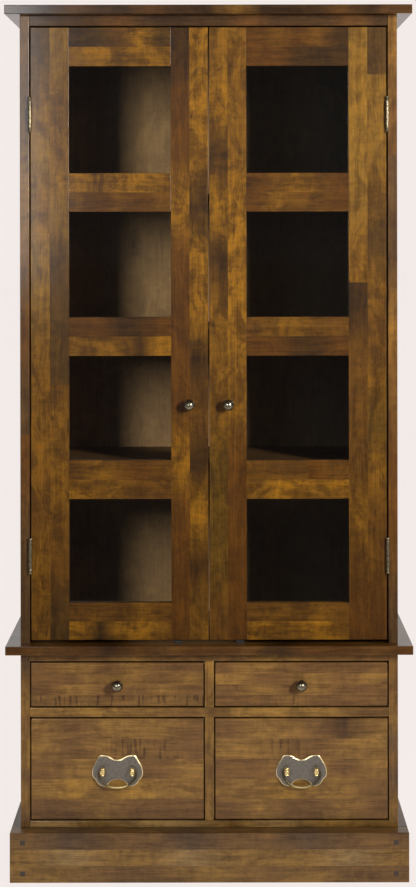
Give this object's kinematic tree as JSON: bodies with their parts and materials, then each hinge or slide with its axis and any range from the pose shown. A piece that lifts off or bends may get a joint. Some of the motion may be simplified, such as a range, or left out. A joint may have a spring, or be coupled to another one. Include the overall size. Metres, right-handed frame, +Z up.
{
  "type": "china cabinet with glass doors",
  "caption": "Tall free-standing display cabinet: a glazed upper case with hinged framed doors over a base with small and large drawers on a plinth.",
  "frame": {"origin": "on the floor, under the middle of the bounding box", "axes": "+Z up, -Y out of the front towards the user, +X to the right as seen from the front"},
  "size_m": [0.92, 0.42, 1.975],
  "materials": {
    "board_wood": "dark walnut-brown lacquer, glossy",
    "case_wood": "brown stained staves, satin lacquer",
    "door_wood": "golden-brown stained staves, satin lacquer",
    "drawer_wood": "mid-brown stained staves, satin lacquer",
    "plinth_wood": "brown stained staves, satin lacquer",
    "inner_wood": "thin brown stain, matt",
    "pane_glass": "clear float glass",
    "hinge_brass": "antique brass",
    "knob_pewter": "antique pewter-brass, polished",
    "pull_pewter": "blackened antique brass, bright bevelled edges",
    "pull_brass": "antique brass, rubbed bright in the middle"
  },
  "bodies": {
    "carcass": {"plinth_front": "plinth_wood", "plinth_left": "plinth_wood", "plinth_right": "plinth_wood", "base_side_left": "case_wood", "base_side_right": "case_wood", "base_floor_panel": "case_wood", "base_dust_panel": "case_wood", "base_divider_lower": "case_wood", "base_divider_upper": "case_wood", "base_top_rail": "case_wood", "base_back_panel": "inner_wood", "waist_board": "board_wood", "cornice_board": "board_wood", "upper_side_left": "case_wood", "upper_side_right": "case_wood", "frieze_rail": "case_wood", "upper_back_panel": "inner_wood", "shelf_upper": "inner_wood", "shelf_middle": "inner_wood", "shelf_lower": "inner_wood", "hinge_left_upper_case_leaf": "hinge_brass", "hinge_left_lower_case_leaf": "hinge_brass", "hinge_right_upper_case_leaf": "hinge_brass", "hinge_right_lower_case_leaf": "hinge_brass"},
    "door_left": {"door_left_inner_stile": "door_wood", "door_left_outer_stile": "door_wood", "door_left_rail_1": "door_wood", "door_left_rail_2": "door_wood", "door_left_rail_3": "door_wood", "door_left_rail_4": "door_wood", "door_left_rail_5": "door_wood", "door_left_glass": "pane_glass", "door_left_knob": "knob_pewter", "hinge_left_upper_door_leaf": "hinge_brass", "hinge_left_lower_door_leaf": "hinge_brass"},
    "small_drawer_left": {"small_drawer_left_front": "drawer_wood", "small_drawer_left_box": "inner_wood", "small_drawer_left_knob": "knob_pewter"},
    "large_drawer_left": {"large_drawer_left_front": "drawer_wood", "large_drawer_left_box": "inner_wood", "pull_left_plate": "pull_pewter"},
    "bail_left": {"pull_left_bail": "pull_brass"},
    "door_right": {"door_right_inner_stile": "door_wood", "door_right_outer_stile": "door_wood", "door_right_rail_1": "door_wood", "door_right_rail_2": "door_wood", "door_right_rail_3": "door_wood", "door_right_rail_4": "door_wood", "door_right_rail_5": "door_wood", "door_right_glass": "pane_glass", "door_right_knob": "knob_pewter", "hinge_right_upper_door_leaf": "hinge_brass", "hinge_right_lower_door_leaf": "hinge_brass"},
    "small_drawer_right": {"small_drawer_right_front": "drawer_wood", "small_drawer_right_box": "inner_wood", "small_drawer_right_knob": "knob_pewter"},
    "large_drawer_right": {"large_drawer_right_front": "drawer_wood", "large_drawer_right_box": "inner_wood", "pull_right_plate": "pull_pewter"},
    "bail_right": {"pull_right_bail": "pull_brass"}
  },
  "joints": [
    {"name": "door_left_hinge", "type": "hinge", "parent": "carcass", "child": "door_left", "pos_m": [-0.40513, -0.1722, 1.2285], "axis": [0, 0, -1], "range_deg": [0, 170]},
    {"name": "small_drawer_left_slide", "type": "slide", "parent": "carcass", "child": "small_drawer_left", "axis": [0, -1, 0], "range_m": [0, 0.28]},
    {"name": "large_drawer_left_slide", "type": "slide", "parent": "carcass", "child": "large_drawer_left", "axis": [0, -1, 0], "range_m": [0, 0.28]},
    {"name": "pull_left_swing", "type": "hinge", "parent": "large_drawer_left", "child": "bail_left", "pos_m": [-0.2085, -0.1815, 0.241], "axis": [-1, 0, 0], "range_deg": [0, 90]},
    {"name": "door_right_hinge", "type": "hinge", "parent": "carcass", "child": "door_right", "pos_m": [0.40513, -0.1722, 1.2285], "axis": [0, 0, 1], "range_deg": [0, 170]},
    {"name": "small_drawer_right_slide", "type": "slide", "parent": "carcass", "child": "small_drawer_right", "axis": [0, -1, 0], "range_m": [0, 0.28]},
    {"name": "large_drawer_right_slide", "type": "slide", "parent": "carcass", "child": "large_drawer_right", "axis": [0, -1, 0], "range_m": [0, 0.28]},
    {"name": "pull_right_swing", "type": "hinge", "parent": "large_drawer_right", "child": "bail_right", "pos_m": [0.2085, -0.1815, 0.241], "axis": [-1, 0, 0], "range_deg": [0, 90]}
  ]
}
